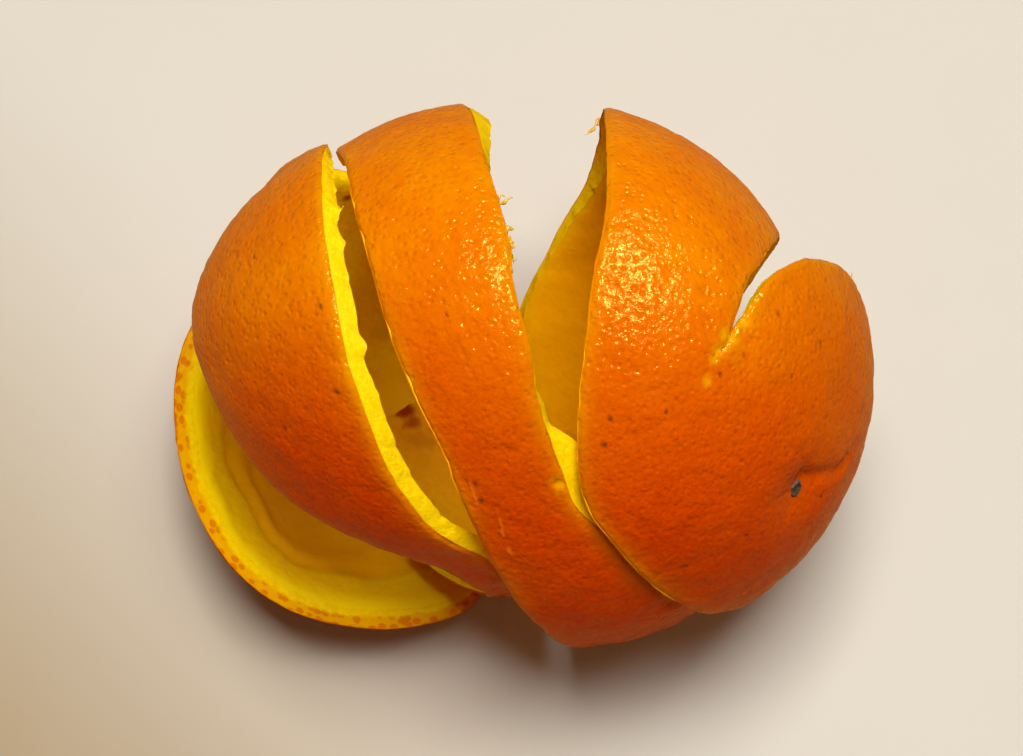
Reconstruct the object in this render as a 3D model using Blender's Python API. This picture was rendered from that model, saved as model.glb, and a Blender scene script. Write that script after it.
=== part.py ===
"""Orange peel, taken off in one long spiral and left lying on a table.

The rind is one continuous skin of even thickness.  It is described as the skin of a whole
fruit (a ball), the line a knife took round it (three turns, from near the stem end to near
the blossom end), and the way each part of the freed spiral has since moved: the stem end
has stayed put, the turns have fanned out to the left of it, and the last turn has folded
back so that the blossom end lies inside up, like a bowl.

Metres, +Z up.  The longest extent is along X, the stem end is at +X, the front is at -Y.
"""

import math

import bpy
import numpy as np

# ---------------------------------------------------------------- named sizes, millimetres
FRUIT_RADIUS = 40.0
RIND = 3.2
KERF = 0.6
FLAT_SPOT = 0.3
STEM_HEADING = -38.0
STEM_RISE = 19.0
LUMP_CENTRE = (12.95, 0.15, 40.0)
SCAR_HEADING = -41.0
SCAR_RISE = 26.0
STEM_PUCKER = 1.6
PUCKER_SPREAD = 4.5

# ---------------------------------------------------------------- the knife line, degrees
# Going round the stem axis: (angle turned, angle down from the stem end).
CUT_START = 93.0
CUT_END = 1245.0
KNIFE_LINE = (
    (93, 45), (105, 46.8), (122, 49), (140, 49.3), (165, 50.5), (220, 50), (290, 40), (322, 33),
    (348, 34.8), (366, 39.4), (388, 46.4), (402, 55.4), (416, 60.4), (433, 66.9), (452, 75.9),
    (480, 88.5), (508, 96), (540, 105), (590, 110), (650, 90), (700, 73), (730, 73), (740, 74.6),
    (755, 79.1), (767, 83.1), (781, 85.6), (792, 88.1), (802, 90.1), (816, 95.1), (830, 100.6),
    (848, 109), (870, 118), (900, 128), (950, 138), (990, 142), (1025, 129), (1060, 103.5),
    (1095, 104.5), (1130, 118), (1165, 130.5), (1205, 141), (1245, 147),
)

# ---------------------------------------------------------------- how the turns have moved
# Angle along the spiral, shift in millimetres (x, y, z), turn in degrees (about x, y, z),
# and how far the turn has flattened (1 = still as round as the fruit).
MOVES = (
    (93, 0, 0, 0, 0, 0, 0, 1.0),
    (135, -5, 0, 0, 0, 0, 6, 1.0),
    (170, -8, 0, 0, 0, 0, 10, 1.0),
    (240, -16, -1, 0, 0, 0, 24, 1.0),
    (340, -5.5, -0.5, 0, 0, 0, 8.5, 0.99),
    (400, -10, 1, 0, 0, 0, 15, 0.98),
    (450, -14, 0, 0, 0, 0, 19, 1.0),
    (530, -18, 0, 0, 0, 0, 24, 1.0),
    (590, -17, -1, 3, 0, 0, 25, 0.92),
    (660, -16, 0.8, 4.5, 0, 2, 26, 0.9),
    (725, -17, 2.6, 2, 0, 2, 26, 0.88),
    (755, -19.5, 1, 0.5, 0, 0, 26, 0.93),
    (805, -20, 0, 0, 0, -4, 25, 1.035),
    (850, -21.2, -1, 0.6, 0, -6, 24, 1.012),
    (935, -28, -1, 0, 0, -52, 20, 1.0),
    (1245, -28, -1, 0, 0, -52, 20, 1.0),
)
# Where the two sides of the cut are not quite parallel: (angle turned, degrees gained).
STEM_SIDE_GAIN = (
    (93, 0), (97, 0.1), (100, 0.3), (104, 0.3), (110, 0.5), (117, 1.3), (124, 2.2), (134, 2.7),
    (146, 2.5), (160, 1.4), (180, 0), (393, 0), (407, 2.7), (426, 3.6), (437, 5.2), (448, 5.9),
    (457, 7.2), (466, 7.1), (478, 5.8), (490, 3.6), (505, 0.4), (520, -1.4), (535, -2.5), (550, -2.2),
    (575, 0), (745, 0), (770, 1.2), (800, 1.1), (820, 0.3), (840, -0.4), (870, 0), (1112, 0),
    (1143, -2.2), (1172, 0), (1245, 0),
)
BLOSSOM_SIDE_GAIN = (
    (93, 0), (97, 0.1), (100, 0.3), (104, 0.3), (110, 0.4), (118, 0.5), (125, 1.2), (133, 1.5),
    (148, 0.4), (160, 0), (335, 0), (365, -1.2), (390, 0),
    (480, 0), (500, 1.7), (512, 2.8), (522, 2.6), (534, 0.2), (545, -2.2), (558, -4.0), (572, -3.8),
    (585, -2), (596, -0.6), (605, 0), (660, 0), (690, -5.5), (712, -7.5), (734, -4.4),
    (766, -4.5), (779, 0), (803, 7.2), (824, 11.8), (840, 12.8), (852, 14), (864, 13), (876, 9),
    (892, 1), (947, -24),
    (1010, 0), (1040, -5), (1056, -16), (1068, -20.5), (1082, -19.5), (1092, -14), (1104, -2), (1113, 5),
    (1124, 9), (1138, 11.2), (1150, 12), (1164, 10.8), (1176, 7), (1192, 3), (1206, 0), (1245, 0),
)
STEM_DISC_DIP = 18.0
BLOSSOM_DISC_DIP = 12.0
FOLD_FROM = 75.0
FOLD_TO = 34.0
FOLD_LEAD = 42.0

# ---------------------------------------------------------------- mesh fineness
TURN_STEP = 7.5
ACROSS = 8
DISC_RINGS = 4


def unit(v):
    return v / np.maximum(np.linalg.norm(v, axis=-1, keepdims=True), 1e-12)


def smooth(x):
    x = np.clip(x, 0.0, 1.0)
    return x * x * (3.0 - 2.0 * x)


def through(keys, column, x):
    """Smooth curve through a column of the key values, without overshoot."""
    table = np.array(keys, float)
    xs = table[:, 0]
    ys = table[:, column]
    h = np.diff(xs)
    d = np.diff(ys) / h
    m = np.zeros(len(xs))
    for i in range(1, len(xs) - 1):
        if d[i - 1] * d[i] > 0:
            w1 = 2 * h[i] + h[i - 1]
            w2 = h[i] + 2 * h[i - 1]
            m[i] = (w1 + w2) / (w1 / d[i - 1] + w2 / d[i])
    x = np.clip(x, xs[0], xs[-1])
    i = np.clip(np.searchsorted(xs, x, side="right") - 1, 0, len(xs) - 2)
    t = (x - xs[i]) / h[i]
    low = (1 + 2 * t) * (1 - t) ** 2 * ys[i] + t * (1 - t) ** 2 * h[i] * m[i]
    high = t * t * (3 - 2 * t) * ys[i + 1] + t * t * (t - 1) * h[i] * m[i + 1]
    return low + high


def heading(h, e):
    h = math.radians(h)
    e = math.radians(e)
    return np.array([math.cos(e) * math.cos(h), math.cos(e) * math.sin(h), math.sin(e)])


STEM = heading(STEM_HEADING, STEM_RISE)
UP = unit(np.array([0.0, 0.0, 1.0]) - STEM[2] * STEM)
FRONT = np.cross(STEM, UP)
SCAR = heading(SCAR_HEADING, SCAR_RISE)
LUMP = np.array(LUMP_CENTRE)


def knife(turn):
    return through(KNIFE_LINE, 1, turn)


def on_fruit(turn, down):
    a = np.radians(turn)[..., None]
    p = np.radians(down)[..., None]
    return np.cos(p) * STEM + np.sin(p) * (np.cos(a) * FRONT + np.sin(a) * UP)


def along(turn, down):
    """How far along the spiral a spot counts as being; the blossom end moves as one."""
    from_blossom = 180.0 - down
    w = 1.0 - smooth((from_blossom - FOLD_TO) / (FOLD_FROM - FOLD_TO))
    lead = smooth((turn - (CUT_END - 360.0 - FOLD_LEAD)) / FOLD_LEAD)
    return turn + (CUT_END - turn) * w * lead


def turned(v, w):
    angle = np.linalg.norm(w, axis=-1, keepdims=True)
    k = w / np.maximum(angle, 1e-12)
    c = np.cos(angle)
    s = np.sin(angle)
    return v * c + np.cross(k, v) * s + k * np.sum(k * v, -1, keepdims=True) * (1 - c)


def placed(turn, down, depth):
    """The point of the skin at a knife-line position and a depth below the zest."""
    turn = np.asarray(turn, float)
    down = np.asarray(down, float)
    key = along(turn, down)
    shift = np.stack([through(MOVES, i, key) for i in (1, 2, 3)], -1)
    spin = np.radians(np.stack([through(MOVES, i, key) for i in (4, 5, 6)], -1))
    spread = through(MOVES, 7, key)[..., None]
    outward = on_fruit(turn, down)
    off_scar = FRUIT_RADIUS * np.linalg.norm(outward - SCAR, axis=-1, keepdims=True)
    dimple = STEM_PUCKER * np.exp(-((off_scar / PUCKER_SPREAD) ** 2))
    radius = FRUIT_RADIUS * spread - depth - dimple
    p = LUMP + shift + turned(outward * radius, spin)
    p[..., 2] = np.maximum(p[..., 2] - FLAT_SPOT, 0.0)
    return p * 0.001


def inner_rim(turn):
    """Edge of the stem-end disc, which the spiral grows out of."""
    start = float(knife(np.array(CUT_START)))
    share = (turn - (CUT_START - 360.0)) / 360.0
    return start - STEM_DISC_DIP * np.sin(np.pi * share) ** 2


def outer_rim(turn):
    """Edge of the blossom-end disc, which the spiral runs into."""
    end = float(knife(np.array(CUT_END)))
    share = (turn - (CUT_END - 360.0)) / 360.0
    return end + BLOSSOM_DISC_DIP * np.sin(np.pi * share) ** 2


def gain(keys, turn):
    """Extra width of a strip's edge at this place along the cut."""
    return float(through(keys, 1, np.array(float(turn))))


def stem_side(turn):
    """Edge of the strip towards the stem end."""
    if turn <= CUT_START:
        return float(inner_rim(turn))
    opened = smooth((turn - CUT_START) / 15.0) * smooth((CUT_END - turn) / 15.0)
    half = math.degrees(KERF / FRUIT_RADIUS) / 2
    return float(knife(np.array(turn))) + half * float(opened) - gain(STEM_SIDE_GAIN, turn)


def blossom_side(turn):
    """Edge of the strip towards the blossom end."""
    if turn >= CUT_END - 360.0:
        return float(outer_rim(turn))
    ahead = turn + 360.0
    opened = smooth((ahead - CUT_START) / 15.0) * smooth((CUT_END - ahead) / 15.0)
    half = math.degrees(KERF / FRUIT_RADIUS) / 2
    return float(knife(np.array(ahead))) - half * float(opened) + gain(BLOSSOM_SIDE_GAIN, ahead)


def turn_stations():
    """Stations along the spiral, with the ends of the cut among them."""
    marks = [CUT_START - 360.0, CUT_START, CUT_END - 360.0, CUT_END]
    stations = [marks[0]]
    for a, b in zip(marks, marks[1:]):
        n = max(1, round((b - a) / TURN_STEP))
        stations += [a + (b - a) * k / n for k in range(1, n + 1)]
    return stations


class Skin:
    """Collects shared corners and faces of the closed skin."""

    def __init__(self):
        self.points = []
        self.faces = []
        self.known = {}

    def corner(self, name, turn, down, depth):
        if name not in self.known:
            self.known[name] = len(self.points)
            self.points.append(placed(np.array([turn]), np.array([down]), depth)[0])
        return self.known[name]

    def quad(self, a, b, c, d):
        ring = []
        for v in (a, b, c, d):
            if v not in ring:
                ring.append(v)
        if len(ring) >= 3:
            self.faces.append(ring)


def build_skin():
    skin = Skin()
    stations = turn_stations()
    count = len(stations)
    first_free = stations.index(CUT_START)
    last_free = stations.index(CUT_END - 360.0)

    def strip(i, j, depth):
        t = stations[i]
        low = stem_side(t)
        high = blossom_side(t)
        if i == 0 or (i == first_free and j == 0):
            return skin.corner(("start", depth), CUT_START, low, depth)
        if i == count - 1 or (i == last_free and j == ACROSS):
            return skin.corner(("end", depth), CUT_END, float(knife(np.array(CUT_END))), depth)
        return skin.corner((i, j, depth), t, low + (high - low) * j / ACROSS, depth)

    for depth, flip in ((0.0, False), (RIND, True)):
        for i in range(count - 1):
            for j in range(ACROSS):
                ring = (
                    strip(i, j, depth),
                    strip(i + 1, j, depth),
                    strip(i + 1, j + 1, depth),
                    strip(i, j + 1, depth),
                )
                skin.quad(*(ring[::-1] if flip else ring))
        for i in range(first_free):
            for k in range(DISC_RINGS):
                ring = (
                    stem_disc(skin, strip, stations, first_free, i, k, depth),
                    stem_disc(skin, strip, stations, first_free, i + 1, k, depth),
                    stem_disc(skin, strip, stations, first_free, i + 1, k + 1, depth),
                    stem_disc(skin, strip, stations, first_free, i, k + 1, depth),
                )
                skin.quad(*(ring[::-1] if flip else ring))
        for i in range(last_free, count - 1):
            for k in range(DISC_RINGS):
                ring = (
                    blossom_disc(skin, strip, stations, last_free, i, k, depth),
                    blossom_disc(skin, strip, stations, last_free, i + 1, k, depth),
                    blossom_disc(skin, strip, stations, last_free, i + 1, k + 1, depth),
                    blossom_disc(skin, strip, stations, last_free, i, k + 1, depth),
                )
                skin.quad(*(ring[::-1] if flip else ring))

    for i in range(first_free, count - 1):
        skin.quad(strip(i, 0, 0.0), strip(i, 0, RIND), strip(i + 1, 0, RIND), strip(i + 1, 0, 0.0))
    for i in range(0, last_free):
        a = strip(i, ACROSS, 0.0)
        b = strip(i + 1, ACROSS, 0.0)
        c = strip(i + 1, ACROSS, RIND)
        d = strip(i, ACROSS, RIND)
        skin.quad(a, b, c, d)
    return skin


def stem_disc(skin, strip, stations, first_free, i, k, depth):
    """Corner of the stem-end disc: k = 0 at the stem, k = DISC_RINGS on its rim."""
    if k == 0:
        return skin.corner(("stem", depth), 0.0, 0.0, depth)
    i = i % first_free
    if k == DISC_RINGS:
        return strip(i, 0, depth)
    t = stations[i]
    return skin.corner(("stem", i, k, depth), t, float(inner_rim(t)) * k / DISC_RINGS, depth)


def blossom_disc(skin, strip, stations, last_free, i, k, depth):
    """Corner of the blossom-end disc: k = 0 on its rim, k = DISC_RINGS at the blossom scar."""
    if k == DISC_RINGS:
        return skin.corner(("blossom", depth), CUT_END, 180.0, depth)
    around = len(stations) - 1 - last_free
    i = last_free + (i - last_free) % around
    if k == 0:
        return strip(i, ACROSS, depth)
    t = stations[i]
    rim = float(outer_rim(t))
    down = rim + (180.0 - rim) * k / DISC_RINGS
    return skin.corner(("blossom", i, k, depth), t, down, depth)


def zest_material():
    material = bpy.data.materials.new("zest")
    material.use_nodes = True
    shader = material.node_tree.nodes["Principled BSDF"]
    shader.inputs["Base Color"].default_value = (0.85, 0.22, 0.01, 1.0)
    shader.inputs["Roughness"].default_value = 0.45
    return material


def main():
    for obj in list(bpy.data.objects):
        bpy.data.objects.remove(obj, do_unlink=True)
    skin = build_skin()
    mesh = bpy.data.meshes.new("orange_peel")
    mesh.from_pydata([tuple(p) for p in skin.points], [], skin.faces)
    mesh.validate()
    mesh.update()
    peel = bpy.data.objects.new("orange_peel", mesh)
    bpy.context.scene.collection.objects.link(peel)
    mesh.materials.append(zest_material())


main()
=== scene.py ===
"""Looks of the orange peel: the same spiral skin as the CAD part, at full detail.

The CAD solid is replaced by pieces that follow it closely: the zest with its oil glands, the
pith inside with bits of flesh left on it, the cut faces, the stem button and loose fibres.
"""
import math

import bpy
import numpy as np
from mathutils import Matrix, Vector
from mathutils.kdtree import KDTree


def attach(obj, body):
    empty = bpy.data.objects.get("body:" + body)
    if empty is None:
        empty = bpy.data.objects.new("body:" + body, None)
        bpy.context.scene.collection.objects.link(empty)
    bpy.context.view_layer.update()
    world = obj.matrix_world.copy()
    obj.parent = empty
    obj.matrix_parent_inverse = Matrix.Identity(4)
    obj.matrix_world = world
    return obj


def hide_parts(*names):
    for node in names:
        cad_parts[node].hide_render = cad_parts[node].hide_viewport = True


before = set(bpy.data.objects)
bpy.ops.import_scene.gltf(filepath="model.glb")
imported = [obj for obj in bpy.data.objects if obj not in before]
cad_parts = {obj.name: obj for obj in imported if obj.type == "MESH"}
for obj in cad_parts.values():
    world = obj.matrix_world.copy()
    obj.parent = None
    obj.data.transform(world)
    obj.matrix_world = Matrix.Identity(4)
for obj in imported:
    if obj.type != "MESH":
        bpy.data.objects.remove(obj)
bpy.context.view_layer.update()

# ---------------------------------------------------------------- the part's named sizes, mm
FRUIT_RADIUS = 40.0
RIND = 3.2
KERF = 0.6
FLAT_SPOT = 0.3
STEM_HEADING = -38.0
STEM_RISE = 19.0
LUMP_CENTRE = (12.95, 0.15, 40.0)
SCAR_HEADING = -41.0
SCAR_RISE = 26.0
STEM_PUCKER = 1.6
PUCKER_SPREAD = 4.5

CUT_START = 93.0
CUT_END = 1245.0
KNIFE_LINE = (
    (93, 45), (105, 46.8), (122, 49), (140, 49.3), (165, 50.5), (220, 50), (290, 40), (322, 33),
    (348, 34.8), (366, 39.4), (388, 46.4), (402, 55.4), (416, 60.4), (433, 66.9), (452, 75.9),
    (480, 88.5), (508, 96), (540, 105), (590, 110), (650, 90), (700, 73), (730, 73), (740, 74.6),
    (755, 79.1), (767, 83.1), (781, 85.6), (792, 88.1), (802, 90.1), (816, 95.1), (830, 100.6),
    (848, 109), (870, 118), (900, 128), (950, 138), (990, 142), (1025, 129), (1060, 103.5),
    (1095, 104.5), (1130, 118), (1165, 130.5), (1205, 141), (1245, 147),
)
MOVES = (
    (93, 0, 0, 0, 0, 0, 0, 1.0),
    (135, -5, 0, 0, 0, 0, 6, 1.0),
    (170, -8, 0, 0, 0, 0, 10, 1.0),
    (240, -16, -1, 0, 0, 0, 24, 1.0),
    (340, -5.5, -0.5, 0, 0, 0, 8.5, 0.99),
    (400, -10, 1, 0, 0, 0, 15, 0.98),
    (450, -14, 0, 0, 0, 0, 19, 1.0),
    (530, -18, 0, 0, 0, 0, 24, 1.0),
    (590, -17, -1, 3, 0, 0, 25, 0.92),
    (660, -16, 0.8, 4.5, 0, 2, 26, 0.9),
    (725, -17, 2.6, 2, 0, 2, 26, 0.88),
    (755, -19.5, 1, 0.5, 0, 0, 26, 0.93),
    (805, -20, 0, 0, 0, -4, 25, 1.035),
    (850, -21.2, -1, 0.6, 0, -6, 24, 1.012),
    (935, -28, -1, 0, 0, -52, 20, 1.0),
    (1245, -28, -1, 0, 0, -52, 20, 1.0),
)
STEM_SIDE_GAIN = (
    (93, 0), (97, 0.1), (100, 0.3), (104, 0.3), (110, 0.5), (117, 1.3), (124, 2.2), (134, 2.7),
    (146, 2.5), (160, 1.4), (180, 0), (393, 0), (407, 2.7), (426, 3.6), (437, 5.2), (448, 5.9),
    (457, 7.2), (466, 7.1), (478, 5.8), (490, 3.6), (505, 0.4), (520, -1.4), (535, -2.5), (550, -2.2),
    (575, 0), (745, 0), (770, 1.2), (800, 1.1), (820, 0.3), (840, -0.4),
    (872, 0), (885, -1.9), (896, -1.4), (905, 0), (1112, 0),
    (1143, -2.2), (1172, 0), (1245, 0),
)
BLOSSOM_SIDE_GAIN = (
    (93, 0), (97, 0.1), (100, 0.3), (104, 0.3), (110, 0.4), (118, 0.5), (125, 1.2), (133, 1.5),
    (148, 0.4), (160, 0), (335, 0), (365, -1.2), (390, 0),
    (480, 0), (500, 1.7), (512, 2.8), (522, 2.6), (534, 0.2), (545, -2.2), (558, -4.0), (572, -3.8),
    (585, -2), (596, -0.6), (605, 0), (660, 0), (690, -5.5), (712, -7.5), (734, -4.4),
    (766, -4.5), (779, 0), (803, 7.2), (824, 11.8), (840, 12.8), (852, 14), (864, 13), (876, 9),
    (892, 1), (947, -24),
    (1010, 0), (1040, -5), (1056, -16), (1068, -20.5), (1082, -19.5), (1092, -14), (1104, -2), (1113, 5),
    (1124, 9), (1138, 11.2), (1150, 12), (1164, 10.8), (1176, 7), (1192, 3), (1206, 0), (1245, 0),
)
STEM_DISC_DIP = 18.0
BLOSSOM_DISC_DIP = 12.0
# Where the third turn is drawn in before it folds out: angle turned and degrees down, mm.
TUCK_AT = (856.0, 122.5)
TUCK_DEPTH = 1.3
TUCK_SPREAD = 7.8
# Where the skin narrows to a neck beyond it: angle turned and degrees down, mm.
NECK_AT = (878.0, 122.0)
NECK_SPREAD = 13.0
FOLD_FROM = 75.0
FOLD_TO = 34.0
FOLD_LEAD = 42.0

# How far the knife slanted, in mm: on the inside the cut lies this much nearer the stem end.
SLANT = (
    (93, 0.8), (115, 0.3), (140, 0.0), (200, 0.6), (330, 0.4), (400, 1.6), (425, 0.6), (440, 0.0),
    (470, 0.1), (485, 1.7), (500, 3.2), (512, 3.7), (530, 3.0), (545, 2.4), (575, 1.0), (640, 1.6),
    (700, 2.0), (760, 2.1), (830, 1.3), (842, 0.6), (850, -0.3), (866, -0.2), (885, 0.4), (930, 0.5),
    (1040, -1.0), (1080, -3.0), (1200, -3.0), (1245, -0.5),
)

# Where torn pith stands out from the stem side of the cut: (angle turned, mm).
TORN_FLAPS = (
    (93, 0), (396, 0), (402, 1.6), (408, 3.4), (414, 2.8), (419, 0), (454, 0), (455.5, 0.5), (457, 0),
    (460, 0), (462, 0.5), (464, 0), (791, 0), (794, 0.9), (797, 0), (813, 0), (816, 0.7), (819, 0),
    (822, 0), (825, 1.0), (828, 0), (1245, 0),
)
# Small marks on the zest: (angle turned, degrees down, radius in mm).
SPECKS = (
    (-244.3, 42.3, 0.36), (-262.5, 41.0, 0.30), (87.9, 42.3, 0.32), (-166.2, 1.2, 0.28),
    (63.2, 55.9, 0.32), (57.2, 54.8, 0.44), (402.5, 72.0, 0.30), (399.0, 70.9, 0.42),
    (784.2, 89.4, 0.36), (800.8, 92.4, 0.34), (-231.0, 33.0, 0.30), (-251.0, 30.5, 0.28),
    (71.0, 47.0, 0.30), (20.0, 33.0, 0.34), (812.0, 112.0, 0.30), (438.0, 80.0, 0.26),
    (30.0, 20.0, 0.30), (-290.0, 52.0, 0.3), (845.0, 120.0, 0.34), (775.0, 104.0, 0.3),
)
# Light scratches on the zest: two ends, each (angle turned, degrees down), and half a width.
SCRATCHES = (
    ((402.8, 73.2), (398.6, 71.9), 0.18), ((395.2, 67.5), (390.6, 67.1), 0.15),
    ((386.6, 66.4), (385.6, 66.1), 0.28),
)
# Spots where the cut tore the zest and pith shows: (angle turned, degrees down, radius in mm).
TORN_SPOTS = (
    (92.5, 45.6, 0.9), (90.0, 45.2, 0.6), (97.0, 46.0, 0.8), (-262.0, 45.0, 0.9), (-256.0, 45.4, 0.8),
    (460.5, 107.8, 0.9), (431.8, 91.6, 0.8), (422.7, 86.8, 0.9), (404.0, 55.6, 1.0), (84.0, 43.6, 0.7),
)
# Bits of brown flesh left on the pith: (angle turned, degrees down, radius in mm, strength).
FLESH_SPOTS = (
    (627.5, 133.2, 2.2, 1.0), (631.0, 130.6, 1.6, 0.8), (637.5, 127.5, 2.6, 0.3), (644.0, 124.0, 2.0, 0.1),
    (887.0, 130.8, 0.9, 0.9), (600.0, 128.0, 2.6, 0.25), (262.0, 93.5, 2.0, 0.35), (215.0, 70.0, 2.4, 0.2),
    (1010.0, 156.0, 2.0, 0.25), (940.0, 166.0, 2.6, 0.25), (560.0, 112.0, 2.0, 0.3),
)
# Folds of the pith in the open end: (mm in from the cut, half a width, how strong).
BOWL_FOLDS = ((9.0, 1.1, 1.0), (15.5, 1.3, 0.6))
# The crease that runs from the stem pucker: (angle turned, degrees down) along it, and how
# deep each stretch is, 0 to 1.
CREASE = ((90.0, 8.5), (118.0, 5.8), (150.0, 6.0), (180.0, 7.5), (-174.0, 11.5), (-170.0, 15.5))
CREASE_DEEP = (1.0, 1.0, 1.0, 0.8, 0.4)
# Height in mm of the small ridges round the stem button.
RIDGE_HEIGHT = 0.05

# ---------------------------------------------------------------- mesh fineness
ZEST_STEP = 0.6
ZEST_ACROSS = 80
ZEST_RINGS = 52
PITH_STEP = 1.2
PITH_ACROSS = 44
PITH_RINGS = 30
CUT_STEP = 0.6
CUT_LAYERS = 9
GLAND_SPACING = 1.15
# Where the zest is parted into pieces of modest size: angle turned.
ZEST_SPLITS = (225.0, 760.0)


# ================================================================ shape of the skin
def unit(v):
    return v / np.maximum(np.linalg.norm(v, axis=-1, keepdims=True), 1e-12)


def smooth(x):
    x = np.clip(x, 0.0, 1.0)
    return x * x * (3.0 - 2.0 * x)


def through(keys, column, x):
    """Smooth curve through a column of the key values, without overshoot."""
    table = np.array(keys, float)
    xs = table[:, 0]
    ys = table[:, column]
    h = np.diff(xs)
    d = np.diff(ys) / h
    m = np.zeros(len(xs))
    for i in range(1, len(xs) - 1):
        if d[i - 1] * d[i] > 0:
            w1 = 2 * h[i] + h[i - 1]
            w2 = h[i] + 2 * h[i - 1]
            m[i] = (w1 + w2) / (w1 / d[i - 1] + w2 / d[i])
    x = np.clip(x, xs[0], xs[-1])
    i = np.clip(np.searchsorted(xs, x, side="right") - 1, 0, len(xs) - 2)
    t = (x - xs[i]) / h[i]
    low = (1 + 2 * t) * (1 - t) ** 2 * ys[i] + t * (1 - t) ** 2 * h[i] * m[i]
    high = t * t * (3 - 2 * t) * ys[i + 1] + t * t * (t - 1) * h[i] * m[i + 1]
    return low + high


def heading(h, e):
    h = math.radians(h)
    e = math.radians(e)
    return np.array([math.cos(e) * math.cos(h), math.cos(e) * math.sin(h), math.sin(e)])


STEM = heading(STEM_HEADING, STEM_RISE)
UP = unit(np.array([0.0, 0.0, 1.0]) - STEM[2] * STEM)
FRONT = np.cross(STEM, UP)
SCAR = heading(SCAR_HEADING, SCAR_RISE)
LUMP = np.array(LUMP_CENTRE)


def knife(turn):
    return through(KNIFE_LINE, 1, turn)


def on_fruit(turn, down):
    a = np.radians(turn)[..., None]
    p = np.radians(down)[..., None]
    return np.cos(p) * STEM + np.sin(p) * (np.cos(a) * FRONT + np.sin(a) * UP)


def along(turn, down):
    """How far along the spiral a spot counts as being; the blossom end moves as one."""
    w = 1.0 - smooth((180.0 - down - FOLD_TO) / (FOLD_FROM - FOLD_TO))
    lead = smooth((turn - (CUT_END - 360.0 - FOLD_LEAD)) / FOLD_LEAD)
    return turn + (CUT_END - turn) * w * lead


def turned(v, w):
    angle = np.linalg.norm(w, axis=-1, keepdims=True)
    k = w / np.maximum(angle, 1e-12)
    c = np.cos(angle)
    s = np.sin(angle)
    return v * c + np.cross(k, v) * s + k * np.sum(k * v, -1, keepdims=True) * (1 - c)


def placed(turn, down, depth):
    """Points of the skin, in metres, at knife-line positions and depths below the zest."""
    key = along(turn, down)
    shift = np.stack([through(MOVES, i, key) for i in (1, 2, 3)], -1)
    spin = np.radians(np.stack([through(MOVES, i, key) for i in (4, 5, 6)], -1))
    spread = through(MOVES, 7, key)[..., None]
    outward = on_fruit(turn, down)
    off_scar = FRUIT_RADIUS * np.linalg.norm(outward - SCAR, axis=-1, keepdims=True)
    dimple = STEM_PUCKER * np.exp(-((off_scar / PUCKER_SPREAD) ** 2))
    off_tuck = FRUIT_RADIUS * np.linalg.norm(outward - on_fruit(*TUCK_AT), axis=-1, keepdims=True)
    this_lap = smooth((60.0 - abs(turn - TUCK_AT[0])) / 20.0)[..., None]
    tuck = this_lap * TUCK_DEPTH * np.exp(-((off_tuck / TUCK_SPREAD) ** 2))
    radius = FRUIT_RADIUS * spread - depth[..., None] - dimple - tuck
    p = LUMP + shift + turned(outward * radius, spin)
    p[..., 2] = np.maximum(p[..., 2] - FLAT_SPOT, 0.0)
    return p * 0.001


def inner_rim(turn):
    """Edge of the stem-end disc, which the spiral grows out of."""
    share = np.clip((turn - (CUT_START - 360.0)) / 360.0, 0.0, 1.0)
    return knife(CUT_START) - STEM_DISC_DIP * np.sin(np.pi * share) ** 2


def outer_rim(turn):
    """Edge of the blossom-end disc, which the spiral runs into."""
    share = np.clip((turn - (CUT_END - 360.0)) / 360.0, 0.0, 1.0)
    return knife(CUT_END) + BLOSSOM_DISC_DIP * np.sin(np.pi * share) ** 2


def gain(keys, turn):
    """Extra width of a strip's edge at this place along the cut."""
    return through(keys, 1, turn)


def opened(turn):
    return smooth((turn - CUT_START) / 15.0) * smooth((CUT_END - turn) / 15.0)


def waver(turn, depth, side):
    """Degrees by which the knife and the tearing made an edge uneven."""
    along_cut = turn * math.radians(1.0) * FRUIT_RADIUS * 0.85
    slow = line_noise(along_cut / 7.0, 11) * 0.35
    quick = line_noise(along_cut / 1.6, 12) * 0.10
    torn = line_noise(along_cut / 2.6, 20 + side) * 0.12 + line_noise(along_cut / 0.9, 30 + side) * 0.26
    torn = torn * (0.55 + 0.45 * smooth((turn - 170.0) / 30.0))
    torn = torn + np.maximum(line_noise(along_cut / 1.3, 40 + side) - 0.4, 0.0) * 0.7
    if side == 1:
        torn = torn - through(TORN_FLAPS, 1, turn)
    inside = np.clip(depth / RIND, 0.0, 1.0)
    return np.degrees((slow + quick + torn * inside ** 1.5) / FRUIT_RADIUS) * opened(turn)


def leaned(turn, depth):
    """Degrees by which the cut lies nearer the stem end at this depth."""
    return np.degrees(through(SLANT, 1, turn) / FRUIT_RADIUS) * opened(turn) * depth / RIND


def cut_line(turn, depth, side):
    """Degrees down of one side of the cut: side 1 towards the blossom end, -1 the stem end."""
    half = math.degrees(KERF / FRUIT_RADIUS) / 2 * opened(turn)
    return knife(turn) + side * half - leaned(turn, depth) + waver(turn, depth, side)


def stem_side(turn, depth=0.0):
    edge = cut_line(turn, depth, 1) - gain(STEM_SIDE_GAIN, turn)
    return np.where(turn <= CUT_START, inner_rim(turn), edge)


def blossom_side(turn, depth=0.0):
    ahead = turn + 360.0
    edge = cut_line(ahead, depth, -1) + gain(BLOSSOM_SIDE_GAIN, ahead)
    return np.where(turn >= CUT_END - 360.0, outer_rim(turn), edge)


# ================================================================ noise
def scrambled(n):
    n = (n ^ (n >> np.uint64(16))) * np.uint64(0x45D9F3B)
    n = (n & np.uint64(0xFFFFFFFF))
    n = (n ^ (n >> np.uint64(16))) * np.uint64(0x45D9F3B)
    n = (n & np.uint64(0xFFFFFFFF))
    return (n ^ (n >> np.uint64(16)))


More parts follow.
